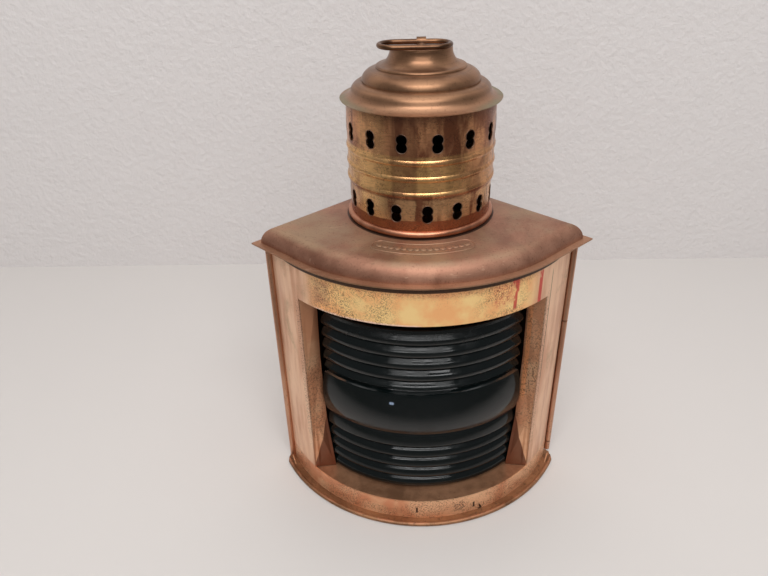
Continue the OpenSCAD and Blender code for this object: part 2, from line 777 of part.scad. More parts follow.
// Flat tube of the wick, slotted at the back for the wick wheels, with the plate that carries it
module wick_tube() {
    low = font_top - 4;
    color(brass) lamp_frame() difference() {
        union() {
            translate([-tube_w / 2, -tube_d / 2, low]) cube([tube_w, tube_d, tube_top - low]);
            translate([0, 0, cup_top - 1]) cylinder(r = cup_r - 0.85, h = 1);
        }
        translate([-tube_w / 2 + tube_t, -tube_d / 2 + tube_t, low - over])
            cube([tube_w - 2 * tube_t, tube_d - 2 * tube_t, tube_top - low + 2 * over]);
        translate([-wick_w / 2 + 1, 0, spindle_z - wheel_r - 0.5])
            cube([wick_w - 2, tube_d, 2 * wheel_r + 1]);
        for (i = [0:9]) rotate(18 + 36 * i) translate([cup_r - 4, 0, cup_top - 2]) cylinder(r = 1.1, h = 3);
    }
}

module wick() {
    color(cotton) lamp_frame() translate([-wick_w / 2, -wick_t / 2, wick_low])
        cube([wick_w, wick_t, wick_top - wick_low]);
}

// Spindle with two toothed wheels that feed the wick
module wick_spindle() {
    teeth = 14;
    color(steel) lamp_frame() translate([0, spindle_y, spindle_z]) rotate([0, 90, 0]) {
        translate([0, 0, -cup_r - 1]) cylinder(r = spindle_r, h = cup_r + 1 + knob_x);
        for (x = [-wick_w / 4, wick_w / 4]) translate([0, 0, x - 1]) linear_extrude(height = 2)
            polygon([for (i = [0:2 * teeth - 1]) (wheel_r - (i % 2) * 0.8)
                * [cos(180 * i / teeth), sin(180 * i / teeth)]]);
    }
}

module wick_knob() {
    ribs = 24;
    color(brass) lamp_frame() translate([knob_x + 0.05, spindle_y, spindle_z]) rotate([0, 90, 0])
        linear_extrude(height = 3) polygon([for (i = [0:2 * ribs - 1]) (knob_r - (i % 2) * 0.5)
            * [cos(180 * i / ribs), sin(180 * i / ribs)]]);
}

// Domed cone over the wick tube, with a slot for the flame
module flame_cone() {
    r = cup_r - 0.4;
    rise = 13;
    dome = arc([0, 0], 1, 0, 80, 8);
    color(brass) difference() {
        translate([0, 0, cup_top]) rotate_extrude() polygon(concat(
            [for (p = dome) [r * p[0], 1 + rise * p[1]]], [[0, 1 + rise], [0, 0.2 + rise]],
            [for (p = flipped(dome)) [(r - 0.8) * p[0], 1 + (rise - 0.8) * p[1]]], [[r - 0.8, 0], [r, 0]]));
        lamp_frame() translate([-wick_w / 2 - 1.5, -3, cup_top + 6]) cube([wick_w + 3, 6, 20]);
    }
}

// Gallery that seats the glass, with six spring prongs round the foot of the glass
module glass_gallery() {
    color(brass) {
        tube(cup_r + 0.02, glass_r + 1.4, cup_top + 1.6, glass_z - 0.2);
        tube(cup_r + 0.02, cup_r + 0.9, cup_top - 4, glass_z - 0.2);
        for (i = [0:5]) intersection() {
            tube(glass_r + 0.4, glass_r + 1.2, glass_z - 0.4, glass_z + 11);
            rotate(60 * i) translate([0, -2.5, 0]) cube([far, 5, far]);
        }
    }
}

module glass_chimney() {
    waist = glass_r + 4.5;
    neck = glass_r - 5;
    outer = concat([[glass_r, glass_z], [glass_r, glass_z + 13]],
        arc([waist - 14, glass_z + 28], 14, -40, 40, 8), [[neck + 2, glass_z + 48], [neck, glass_z + 66]],
        [[neck - 0.5, glass_z + glass_h]]);
    color("lightcyan", 0.5) rotate_extrude()
        polygon(concat(outer, [for (p = flipped(outer)) [p[0] - glass_t, p[1]]]));
}

base_plate();
base_ears();
raised_floor();
front_plate();
window_reveals();
left_wall();
head_band();
hinge_post();
hinge_pin();
side_door();
latch_jamb();
door_catch();
catch_rivet();
lens();
lens_channel_left();
lens_channel_right();
lens_top_channel();
roof();
chimney_collar();
foot_ring();
vent_drum();
inner_flue();
crown();
bail_strap();
strap_rivets();
hanging_bail();
lamp_ring();
oil_font();
font_collar();
burner_cup();
wick_tube();
wick();
wick_spindle();
wick_knob();
flame_cone();
glass_gallery();
glass_chimney();
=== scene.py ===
"""Looks of the quarter-round starboard lantern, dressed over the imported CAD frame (metres)."""

import math

import bmesh
import bpy
from mathutils import Matrix, Vector


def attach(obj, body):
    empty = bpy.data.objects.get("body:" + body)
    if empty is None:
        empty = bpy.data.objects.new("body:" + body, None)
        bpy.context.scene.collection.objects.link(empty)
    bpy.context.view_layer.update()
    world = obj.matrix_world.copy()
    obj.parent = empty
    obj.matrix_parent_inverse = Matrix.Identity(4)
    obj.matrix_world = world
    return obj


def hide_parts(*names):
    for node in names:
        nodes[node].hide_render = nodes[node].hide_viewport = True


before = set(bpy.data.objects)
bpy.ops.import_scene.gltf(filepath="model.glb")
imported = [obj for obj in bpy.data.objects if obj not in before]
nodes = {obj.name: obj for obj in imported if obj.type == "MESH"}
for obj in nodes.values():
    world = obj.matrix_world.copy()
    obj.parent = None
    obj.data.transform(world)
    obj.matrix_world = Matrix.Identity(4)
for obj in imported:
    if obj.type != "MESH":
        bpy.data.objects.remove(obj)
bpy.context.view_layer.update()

# Sizes in metres, angles in degrees from the front
FOCUS_Y = 0.0305  # centre of the front arc
WINDOW_TOP, WINDOW_HALF = 0.180, 46.5
LENS_R, LENS_BACK, GROOVE_R = 0.105, 0.098, 0.1023
LENS_LOW, LENS_TOP, LENS_HALF = 0.0178, 0.1678, 44.2
RINGS, RING_PITCH, RING_SHORT = 5, 0.0103, 0.004
LOW_CREST, HIGH_CREST = 0.0207, 0.1582
BELT_Z, BELT_H, BELT_BULGE = 0.0928, 0.037, 0.0032
BELT_GROOVE = 0.0015  # plain strip between the belt and the rings
SWELL, FLAT = 2.4, 1.2  # how far a ring's long and short face bulge out; 1 is straight
ROOF_R, ROOF_D, ROOF_RUN_OUT = 0.1226, 0.0684, 43.5
ROOF_Z, SHEET = 0.2092, 0.001
FLANGE, SHOULDER_W, SHOULDER_H, SLOPE_H = 0.0048, 0.0105, 0.0122, 0.002
ROOF_GAP = 2e-6  # keeps the skin a hair inside the drawn roof
NECK_GAP, NECK_FLAT = 0.0001, 0.0015  # the roof's hole round the collar and the flat turn before it
COLLAR_R, DRUM_R, FOOT_R = 0.0495, 0.0504, 0.0519
CROWN_TOP, CROWN_SHEET = 0.338, 0.0006
VENT_LOBE_R, VENT_HALF_STEP, VENT_EDGE_R = 0.00365, 0.00245, 0.00024
VENT_ROWS = {  # name: radius, height, number, turn of the first vent
    "vent_edges_upper": (DRUM_R, 0.288, 14, 10.0),
    "vent_edges_lower": (COLLAR_R, 0.241, 15, 3.5),
}
PANEL_R, PANEL_WIDE, PANEL_LONG = 0.0640, 0.0120, 0.069  # raised panel in front of the chimney
PANEL_RIM, PANEL_BEADS, BEAD_R = 0.0005, 15, 0.0023
CORNER_SHARE, ROW_SHARE, BEAD_FLAT = 0.42, 0.43, 0.26  # of the width, of the length, of a stud's radius

# Where the looks change: heights, or distances from an axis, from nothing to all
ROOF_DUST, ROOF_LIP = (0.2185, 0.2220), (0.2112, 0.2096)
# On the drum, the second pair is where the roof's painted reflection ends and the third where painted shade
# under the crown begins
COLLAR_TOP, ROOF_REFLECTION_EDGE, CROWN_SHADE_START = (0.2515, 0.2500), (0.2380, 0.2374), (0.2960, 0.3065)
CROWN_FLARE, CROWN_RIM = (0.3165, 0.3090), (0.0478, 0.0525)
# On the front, the second and third pairs are where painted shade begins below the roof's flange
SILL, UNDER_ROOF_SHADE, ROOF_SHADE = (0.0215, 0.0180), (0.2050, 0.2110), (0.2044, 0.2050)
BASE_EDGE, DULL_RINGS = (0.0024, 0.0031), (0.135, 0.160)
BEADS = (0.2550, 0.2790)  # golden stretch of the drum between its beads
# The first two spans are a painted highlight and a painted dark reflection on the drum
LEFT_HIGHLIGHT, DARK_REFLECTION, BARE_EDGE = (-50, -34), (-22, -6), (-38, -3)  # from and to, in degrees
# Where painted shade fills the reveals' low inner corner
CORNER_TOP, CORNER_TALL, CORNER_REACH, CORNER_WIDE = 0.065, 0.045, 0.1065, 0.0129  # of the dark low corner

# Marks on the front and the lens: from, to and fade in degrees; from, to and fade in height
SMUDGE = (-36.5, -33, 2.5, 0.188, 0.200, 0.005)
PAINT_RUNS = [(29.9, 30.8, 0.5, 0.184, 0.2040, 0.003), (29.0, 31.2, 0.6, 0.1965, 0.2050, 0.002),
              (41.0, 42.2, 0.5, 0.180, 0.2030, 0.003)]
PAINT_SPECKLE = (23, 29, 2.5, 0.190, 0.2020, 0.004)
# The fold entry is painted shade in the crease beside the window, on the right
FOLD_SHADE = (48.3, 48.45, 0.12, 0.108, 0.196, 0.006)
FOOT_NICKS = [(-2.2, -1.8, 0.3, 0.0070, 0.0115, 0.001), (19.7, 20.1, 0.3, 0.0055, 0.0100, 0.001)]
FOOT_SMUDGE = (12.5, 15.5, 1.2, 0.0065, 0.0120, 0.002)
# The chip entry is a painted glint on the lens belt
PAINTED_GLINT = (-12.6, -11.6, 0.7, 0.1036, 0.1045, 0.0010)


def srgb(r, g, b):
    """A colour seen in the photo, 0 to 255, as linear light."""
    return tuple(((c / 255 + 0.055) / 1.055) ** 2.4 if c > 10 else c / 255 / 12.92 for c in (r, g, b)) + (1,)


class Tree:
    """Makes and links the nodes of one tree; each helper returns an output socket."""

    def node(self, kind, props=None, **inputs):
        made = self.tree.nodes.new(kind)
        for key, value in (props or {}).items():
            setattr(made, key, value)
        for key, value in inputs.items():
            self.feed(made.inputs[key.replace("_", " ")], value)
        return made

    def feed(self, socket, value):
        if isinstance(value, bpy.types.NodeSocket):
            self.tree.links.new(value, socket)
        else:
            socket.default_value = value

    def math(self, op, a, b=0.0):
        made = self.node("ShaderNodeMath", {"operation": op})
        self.feed(made.inputs[0], a)
        self.feed(made.inputs[1], b)
        return made.outputs[0]

    def chain(self, op, first, *others):
        for other in others:
            first = self.math(op, first, other)
        return first

    def product(self, *values):
        return self.chain("MULTIPLY", *values)

    def total(self, *values):
        return self.chain("ADD", *values)

    def most(self, *values):
        return self.chain("MAXIMUM", *values)

    def xyz(self, x, y, z):
        return self.node("ShaderNodeCombineXYZ", X=x, Y=y, Z=z).outputs["Vector"]


class Shader(Tree):
    """Builds one node material."""

    def __init__(self, name):
        self.mat = bpy.data.materials.new(name)
        self.mat.use_nodes = True
        self.tree = self.mat.node_tree
        self.bsdf = self.tree.nodes["Principled BSDF"]
        self.place = self.node("ShaderNodeTexCoord").outputs["Object"]
        split = self.node("ShaderNodeSeparateXYZ", Vector=self.place)
        self.x, self.y, self.z = split.outputs["X"], split.outputs["Y"], split.outputs["Z"]

    def stretched(self, x, y, z):
        """Object coordinates scaled by axis, for streaks and grain."""
        made = self.node("ShaderNodeMapping", Vector=self.place)
        made.inputs["Scale"].default_value = (x, y, z)
        return made.outputs["Vector"]

    def turn_about(self, centre_y):
        """Angle in degrees round an upright axis, 0 at the front and growing to the right."""
        angle = self.math("ARCTAN2", self.x, self.math("SUBTRACT", centre_y, self.y))
        return self.product(angle, 180 / math.pi)

    def reach_from(self, centre_y):
        """Distance from an upright axis."""
        deep = self.math("SUBTRACT", self.y, centre_y)
        return self.math("SQRT", self.total(self.product(self.x, self.x), self.product(deep, deep)))

    def noise(self, scale, detail=4.0, rough=0.55, warp=0.0, where=None):
        made = self.node("ShaderNodeTexNoise", Vector=where or self.place, Scale=scale, Detail=detail)
        made.inputs["Roughness"].default_value = rough
        made.inputs["Distortion"].default_value = warp
        return made.outputs["Fac"]

    def steps(self, value, low, high, a=0.0, b=1.0):
        """Value mapped smoothly from low..high to a..b."""
        made = self.node("ShaderNodeMapRange", {"interpolation_type": "SMOOTHSTEP"}, Value=value)
        for key, v in (("From Min", low), ("From Max", high), ("To Min", a), ("To Max", b)):
            made.inputs[key].default_value = v
        return made.outputs["Result"]

    def band(self, value, low, high, soft):
        """1 between low and high, fading out over soft on both sides."""
        return self.product(self.steps(value, low - soft, low), self.steps(value, high + soft, high))

    def patch(self, turn, left, right, side_soft, low, high, soft):
        """1 between two angles and two heights, with soft borders."""
        return self.product(self.band(turn, left, right, side_soft), self.band(self.z, low, high, soft))

    def mix(self, fac, a, b):
        made = self.node("ShaderNodeMix", {"data_type": "RGBA"})
        self.feed(made.inputs["Factor"], fac)
        colours = [s for s in made.inputs if s.type == "RGBA"]
        self.feed(colours[0], a)
        self.feed(colours[1], b)
        return [s for s in made.outputs if s.type == "RGBA"][0]

    def stained(self, colour, stain, *shares):
        """Colour with a stain over it, as strong as the product of the shares."""
        return self.mix(self.product(*shares), colour, stain)

    def bump(self, height, strength, distance):
        made = self.node("ShaderNodeBump", Height=height, Strength=strength, Distance=distance)
        self.feed(self.bsdf.inputs["Normal"], made.outputs["Normal"])

    def finish(self, colour, rough, metallic=1.0, **plain):
        self.feed(self.bsdf.inputs["Base Color"], colour)
        self.feed(self.bsdf.inputs["Roughness"], rough)
        self.feed(self.bsdf.inputs["Metallic"], metallic)
        for key, value in plain.items():
            self.bsdf.inputs[key.replace("_", " ")].default_value = value
        return self.mat


def aged_metal(name, light, mid, dark, rough=(0.3, 0.5), spots=0.5, metallic=1.0, bump=0.25):
    """Sheet metal with clouded tarnish, fine vertical rubbing and dark specks."""
    s = Shader(name)
    clouds = s.noise(28, 5, 0.6, 0.4)
    rubbing = s.noise(130, 4, 0.6, where=s.stretched(1, 1, 0.12))
    blend = s.total(s.product(clouds, 0.7), s.product(rubbing, 0.3))
    colour = s.mix(s.steps(blend, 0.38, 0.62), mid, light)
    patches = s.steps(s.noise(34, 4, 0.6), 0.5, 0.66)
    specks = s.product(s.steps(s.noise(420, 3, 0.65), 0.6, 0.7), patches)
    colour = s.stained(colour, dark, specks, spots)
    s.bump(s.total(s.product(clouds, 0.7), s.product(s.noise(600, 2), 0.08)), bump, 0.0006)
    return s.finish(colour, s.steps(clouds, 0.3, 0.7, *rough), metallic)


def roof_metal():
    """Browned copper: grey and dusty round the chimney, redder and lightly polished on the shoulder, with
    painted shade under the chimney's foot ring at the front.
    """
    s = Shader("browned_copper")
    clouds = s.noise(22, 6, 0.62, 0.5)
    fine = s.noise(700, 4, 0.7)
    colour = s.mix(s.steps(clouds, 0.35, 0.66), srgb(142, 98, 78), srgb(178, 132, 108))
    dust = s.steps(s.noise(17, 5, 0.6), 0.40, 0.62)
    colour = s.stained(colour, srgb(166, 140, 112), s.steps(s.z, *ROOF_DUST), dust, 0.8)
    rubbed = s.steps(fine, 0.3, 0.6, 0.4, 1)
    colour = s.stained(colour, srgb(190, 148, 108), s.steps(s.z, *ROOF_LIP), rubbed, 0.45)
    scratches = s.steps(s.noise(90, 3, 0.7, 1.5, where=s.stretched(0.25, 1, 1)), 0.655, 0.70)
    colour = s.stained(colour, srgb(196, 156, 130), scratches, 0.5)
    colour = s.stained(colour, srgb(92, 62, 48), s.steps(fine, 0.54, 0.70, 0, 0.5))
    # Painted shade: a dark line on the roof round the chimney's foot ring, on the front half only
    foot_ring_shade = s.band(s.reach_from(0.0), COLLAR_R + 0.0005, FOOT_R + 0.0008, 0.0004)
    colour = s.stained(colour, srgb(44, 26, 20), foot_ring_shade, s.steps(s.y, 0.02, -0.01), 0.85)
    dents = s.noise(16, 2, 0.5)
    s.bump(s.total(dents, s.product(clouds, 0.25), s.product(fine, 0.14)), 0.35, 0.0025)
    return s.finish(colour, s.steps(clouds, 0.3, 0.7, 0.42, 0.56), 0.7)


def drum_metal():
    """Dark polished copper with upright bright and dark columns of painted reflection, golden between the
    beads with some painted sheen; also a painted highlight at the left, the roof's painted reflection low on
    the collar and painted shade under the crown.
    """
    s = Shader("chimney_copper")
    turn = s.turn_about(0.0)
    across = s.product(turn, 0.02)
    # Upright bright and dark columns: painted reflections of the room in the polished drum
    reflection_columns = s.noise(3.6, 4, 0.6, 0.3, where=s.xyz(across, s.product(s.z, 6.0), 0.0))
    rings = s.noise(9, 5, 0.65, where=s.xyz(across, s.product(s.z, 90.0), 0.0))
    stains = s.noise(60, 5, 0.65, 0.5)
    colour = s.mix(s.steps(reflection_columns, 0.41, 0.59), srgb(134, 82, 57), srgb(212, 152, 108))
    colour = s.stained(colour, srgb(168, 118, 86), s.steps(stains, 0.5, 0.68, 0, 0.5))
    low = s.steps(s.z, *COLLAR_TOP)
    # Golden stretch between the beads: the metal's own colour with painted sheen, which fades towards the
    # right
    golden_and_sheen = s.product(s.band(s.z, *BEADS, 0.0015), s.steps(turn, 45, 10, 0.3, 1))
    colour = s.stained(colour, srgb(240, 192, 124), golden_and_sheen, s.steps(stains, 0.36, 0.52, 0.5, 1), 0.65)
    # Painted highlight: a bright orange streak on the left of the drum and collar
    left_highlight = s.product(s.band(turn, *LEFT_HIGHLIGHT, 9), s.total(s.product(low, 0.7), 0.3))
    colour = s.stained(colour, srgb(255, 208, 146), left_highlight, s.steps(rings, 0.3, 0.6, 0.7, 1))
    # Painted reflection of a dark thing: a darker upright column left of centre
    colour = s.stained(colour, srgb(112, 72, 52), s.band(turn, *DARK_REFLECTION, 3), 0.5)
    # Painted reflections: brighter upright columns on the collar
    collar_reflections = s.steps(s.total(reflection_columns, s.product(rings, 0.3)), 0.50, 0.64)
    colour = s.stained(colour, srgb(246, 196, 142), low, collar_reflections, 0.55)
    # Painted reflection of the roof: a reddish brown band low on the collar with a wavy upper edge
    foot = s.steps(s.total(s.z, s.product(s.noise(22), 0.003)), *ROOF_REFLECTION_EDGE)
    colour = s.stained(colour, srgb(156, 88, 58), foot, 0.9)
    # Painted shade at the top of the drum, under the crown's rim
    colour = s.stained(colour, srgb(84, 56, 46), s.steps(s.z, *CROWN_SHADE_START), 0.55)
    colour = s.stained(colour, srgb(126, 82, 58), s.steps(rings, 0.46, 0.66, 0, 0.4))
    pits = s.product(s.steps(s.noise(700, 4, 0.75), 0.54, 0.62), s.steps(s.noise(50, 4), 0.42, 0.6))
    colour = s.stained(colour, srgb(80, 50, 36), pits, 0.6)
    s.bump(s.total(s.product(rings, 0.6), s.product(s.noise(24, 3), 0.6)), 0.22, 0.0006)
    return s.finish(colour, s.steps(stains, 0.35, 0.65, 0.22, 0.36), 0.85)


def crown_metal():
    """Olive brown spun brass with fine turning lines, green grey along the rim's sides."""
    s = Shader("olive_brass")
    reach = s.reach_from(0.0)
    clouds = s.noise(26, 5, 0.6, 0.5)
    lines = s.noise(30, 3, 0.6, where=s.xyz(s.product(reach, 12.0), s.product(s.z, 12.0), 0.0))
    fine = s.noise(520, 4, 0.7)
    colour = s.mix(s.steps(clouds, 0.35, 0.65), srgb(130, 94, 69), srgb(158, 118, 88))
    colour = s.stained(colour, srgb(178, 134, 104), s.steps(s.z, *CROWN_FLARE), 0.5)
    colour = s.stained(colour, srgb(112, 82, 58), s.steps(lines, 0.48, 0.70, 0, 0.4))
    colour = s.stained(colour, srgb(98, 70, 52), s.steps(fine, 0.54, 0.70, 0, 0.5))
    sides = s.steps(s.math("ABSOLUTE", s.x), 0.026, 0.044)
    colour = s.stained(colour, srgb(128, 128, 98), s.steps(reach, *CROWN_RIM), sides,
                       s.steps(clouds, 0.3, 0.55), 0.75)
    s.bump(s.total(s.product(lines, 0.3), s.product(clouds, 1.2), s.product(fine, 0.08)), 0.35, 0.001)
    return s.finish(colour, s.steps(clouds, 0.3, 0.7, 0.32, 0.44), 0.82)


def front_metal():
    """Rubbed pale brass: golden and pitted over the window, pink on the pillars, orange at the foot, with
    painted shade under the roof's flange and along the right fold.
    """
    s = Shader("front_brass")
    turn = s.turn_about(FOCUS_Y)
    aside = s.math("ABSOLUTE", turn)
    clouds = s.noise(30, 5, 0.6, 0.5)
    rubbing = s.noise(110, 5, 0.6, where=s.stretched(1, 1, 0.13))
    pits = s.noise(1050, 4, 0.75, 0.5)
    colour = s.mix(s.steps(rubbing, 0.35, 0.65), srgb(216, 165, 133), srgb(242, 202, 169))
    colour = s.stained(colour, srgb(192, 162, 130), s.steps(clouds, 0.52, 0.7, 0, 0.6))

    over = s.product(s.steps(s.z, WINDOW_TOP - 0.005, WINDOW_TOP), s.steps(aside, 44, 34))
    gold = s.mix(s.steps(s.noise(46, 4, 0.6), 0.36, 0.64), srgb(250, 184, 122), srgb(253, 214, 146))
    colour = s.mix(over, colour, gold)
    # Painted shade: the band over the window turns browner towards the roof's flange
    under_roof_shade = s.steps(s.total(s.z, s.product(clouds, 0.012)), *UNDER_ROOF_SHADE)
    colour = s.stained(colour, srgb(196, 130, 90), over, under_roof_shade, 0.5)
    bare = s.steps(s.math("SUBTRACT", s.z, s.product(rubbing, 0.003)), WINDOW_TOP, WINDOW_TOP - 0.0008)
    colour = s.stained(colour, srgb(255, 216, 194), s.band(turn, *BARE_EDGE, 3), bare, over, 0.9)
    foot = s.steps(s.z, *SILL)
    orange = s.mix(s.steps(clouds, 0.36, 0.62), srgb(214, 142, 102), srgb(236, 184, 142))
    colour = s.mix(foot, colour, orange)
    colour = s.stained(colour, srgb(150, 96, 82), s.patch(turn, *SMUDGE), s.steps(clouds, 0.3, 0.6), 0.5)

    speckle = s.product(s.patch(turn, *PAINT_SPECKLE), s.steps(pits, 0.44, 0.56), 0.7)
    runs = s.most(speckle, *[s.patch(turn, *run) for run in PAINT_RUNS])
    ragged = s.steps(s.noise(240, 4, 0.7, where=s.stretched(1, 1, 0.3)), 0.32, 0.48)
    colour = s.stained(colour, srgb(206, 62, 56), runs, ragged, 0.9)

    crowded = s.most(s.product(s.band(turn, -38, -14, 8), s.steps(clouds, 0.30, 0.48)),
                     s.product(s.band(turn, 20, 40, 6), s.steps(clouds, 0.40, 0.56)),
                     s.product(s.steps(s.z, 0.1985, 0.2040), 0.7))
    over_pits = s.product(over, crowded, s.steps(pits, 0.49, 0.56))
    foot_pits = s.product(foot, s.steps(s.noise(38, 3), 0.40, 0.54), s.steps(pits, 0.50, 0.58))
    loose_pits = s.product(s.steps(pits, 0.58, 0.68), s.steps(clouds, 0.46, 0.66))
    beside = s.product(s.band(aside, WINDOW_HALF, WINDOW_HALF + 1.6, 0.9), s.band(s.z, 0.06, 0.165, 0.03),
                       s.steps(pits, 0.50, 0.60))
    dirt = s.most(over_pits, foot_pits, loose_pits, beside)
    colour = s.stained(colour, srgb(108, 58, 32), dirt, 0.75)

    nicks = s.most(s.product(s.steps(s.noise(75, 2, 0.5, 0.8), 0.70, 0.735), foot),
                   s.product(s.patch(turn, *FOOT_SMUDGE), s.steps(pits, 0.44, 0.56)),
                   *[s.patch(turn, *nick) for nick in FOOT_NICKS])
    # Painted shade in the crease of the right fold beside the window; the nicks are real marks
    fold_shade = s.product(s.patch(turn, *FOLD_SHADE), 0.85)
    colour = s.stained(colour, srgb(64, 40, 28), s.most(fold_shade, nicks))
    colour = s.stained(colour, srgb(40, 22, 15), s.steps(s.z, *ROOF_SHADE), 0.93)

    relief = s.total(s.product(clouds, 0.8), s.product(rubbing, 0.1))
    s.bump(s.math("SUBTRACT", relief, s.product(dirt, 0.12)), 0.3, 0.0008)
    metallic = s.math("SUBTRACT", s.steps(foot, 0, 1, 0.70, 0.42), s.product(over, 0.42))
    return s.finish(colour, s.steps(clouds, 0.3, 0.7, 0.38, 0.52), metallic)


def wall_metal():
    """Side sheets in rubbed pinkish copper, browner towards the rear."""
    s = Shader("side_copper")
    clouds = s.noise(15, 6, 0.62, 0.4)
    rubbing = s.noise(210, 4, 0.6, where=s.stretched(1, 1, 0.16))
    blend = s.total(s.product(clouds, 0.7), s.product(rubbing, 0.3))
    colour = s.mix(s.steps(blend, 0.38, 0.62), srgb(184, 134, 108), srgb(206, 158, 128))
    colour = s.stained(colour, srgb(166, 116, 88), s.steps(s.noise(9, 5, 0.6), 0.46, 0.66, 0, 0.5))
    colour = s.stained(colour, srgb(168, 112, 82), s.steps(s.y, -0.04, 0.06, 0, 0.3))
    specks = s.product(s.steps(s.noise(560, 4, 0.7), 0.56, 0.66), s.steps(clouds, 0.45, 0.65))
    colour = s.stained(colour, srgb(80, 54, 40), specks, 0.7)
    s.bump(s.total(s.product(clouds, 0.8), s.product(rubbing, 0.05)), 0.3, 0.0012)
    return s.finish(colour, s.steps(clouds, 0.3, 0.7, 0.27, 0.4), 0.9)


def reveal_metal():
    """Strips beside the lens: orange pink at the front, with painted shade browning them towards the inside,
    a painted highlight on the right one, pits, and painted shade in the low corner.
    """
    s = Shader("reveal_copper")
    reach = s.reach_from(FOCUS_Y)
    clouds = s.noise(30, 5, 0.6, 0.4)
    left, right = s.steps(s.x, 0.001, -0.001), s.steps(s.x, -0.001, 0.001)
    colour = s.mix(s.steps(clouds, 0.35, 0.65), srgb(212, 150, 112), srgb(234, 184, 144))
    # Painted shade: browner towards the inside, in the recess next to the lens
    colour = s.stained(colour, srgb(150, 88, 58), s.steps(reach, 0.1115, 0.1060), 0.6)
    # Painted highlight: a bright orange strip near the inner edge of the right reveal
    rim = s.product(s.band(reach, 0.1075, 0.1100, 0.0012), s.band(s.z, 0.09, 0.17, 0.01))
    colour = s.stained(colour, srgb(250, 166, 110), right, rim, 0.7)
    # Painted shade in the low inner corner, reaching further forward the lower it is
    fallen = s.math("DIVIDE", s.math("SUBTRACT", CORNER_TOP, s.z), CORNER_TALL)
    forward = s.math("DIVIDE", s.math("SUBTRACT", reach, CORNER_REACH), CORNER_WIDE)
    low_corner_shade = s.steps(s.math("SUBTRACT", fallen, forward), 0.0, 0.05)
    colour = s.stained(colour, srgb(98, 52, 34), low_corner_shade, 0.88)
    left_pits = s.product(left, s.band(s.z, 0.056, 0.115, 0.02), 0.75)
    right_pits = s.product(right, s.band(s.z, 0.066, 0.165, 0.015), s.steps(clouds, 0.38, 0.54, 0.3, 1))
    pits = s.product(s.most(left_pits, right_pits), s.steps(s.noise(640, 5, 0.75, 0.5), 0.49, 0.58))
    colour = s.stained(colour, srgb(84, 54, 38), pits, 0.65)
    s.bump(s.math("SUBTRACT", s.product(clouds, 0.8), s.product(pits, 0.15)), 0.35, 0.0009)
    return s.finish(colour, s.steps(clouds, 0.3, 0.7, 0.34, 0.5), 0.7)


def base_metal():
    """Dark brown base sheet, rubbed to copper along the rolled edge, where a painted highlight lightens its
    top.
    """
    s = Shader("base_copper")
    clouds = s.noise(26, 5, 0.6, 0.5)
    colour = s.mix(s.steps(clouds, 0.36, 0.64), srgb(124, 86, 58), srgb(160, 114, 80))
    # Lighter along the top of the rolled edge: rubbed metal and a painted highlight
    rubbed = s.steps(s.noise(70, 4, 0.6), 0.42, 0.6)
    colour = s.stained(colour, srgb(190, 130, 98), s.steps(s.z, *BASE_EDGE), rubbed, 0.55)
    colour = s.stained(colour, srgb(66, 46, 34), s.steps(s.noise(420, 4, 0.7), 0.54, 0.66, 0, 0.6))
    s.bump(clouds, 0.3, 0.0008)
    return s.finish(colour, s.steps(clouds, 0.3, 0.7, 0.38, 0.52), 0.6)


def lens_glass():
    """Deep green glass, almost black from outside, with a faint painted reflection of the table low on the
    belt, a painted glint and moulding lines.
    """
    s = Shader("green_glass")
    turn = s.turn_about(FOCUS_Y)
    table_reflection_film = s.steps(s.noise(60, 3), 0.2, 0.7, 0.6, 1)
    # Painted reflection of the table: a faint grey haze low on the belt
    colour = s.stained(srgb(6, 13, 13), srgb(160, 156, 152),
                       s.band(s.z, BELT_Z - 0.0170, BELT_Z - 0.0080, 0.008), table_reflection_film, 0.02)
    # Painted glint: a small pale fleck on the belt
    colour = s.stained(colour, srgb(170, 190, 220), s.patch(turn, *PAINTED_GLINT),
                       s.steps(s.noise(900, 2), 0.30, 0.5), 0.7)
    lines = s.noise(1, 3, 0.6, where=s.xyz(s.product(turn, 0.05), s.product(s.z, 800.0), 0.0))
    s.bump(lines, 0.3, 0.00012)
    grease = s.noise(35, 4, 0.6)
    worn = s.noise(1, 3, 0.6, where=s.xyz(s.product(turn, 0.13), s.product(s.z, 95.0), 0.0))
    rough = s.total(s.steps(grease, 0.3, 0.7, 0.04, 0.08), s.steps(worn, 0.42, 0.62, 0.0, 0.16),
                    s.steps(s.z, *DULL_RINGS, 0.0, 0.10))
    return s.finish(colour, rough, 0.0, Transmission_Weight=0.12, IOR=1.5, Specular_IOR_Level=0.38)


lamp_brass = aged_metal("lamp_brass", srgb(206, 168, 104), srgb(166, 128, 74), srgb(86, 62, 38),
                        (0.25, 0.4), 0.4)
wire_metal = aged_metal("wire_brass", srgb(138, 102, 76), srgb(92, 66, 50), srgb(50, 36, 28),
                        (0.28, 0.42), 0.6)
steel = aged_metal("dull_steel", srgb(150, 146, 140), srgb(112, 104, 98), srgb(66, 54, 46), (0.35, 0.5))
bare_edge = aged_metal("bare_edge", srgb(150, 124, 108), srgb(110, 84, 70), srgb(72, 52, 42),
                       (0.35, 0.5), 0.4)
floor_bronze = aged_metal("floor_bronze", srgb(176, 130, 98), srgb(136, 98, 72), srgb(78, 54, 40),
                          (0.3, 0.45), 0.5, 0.6)
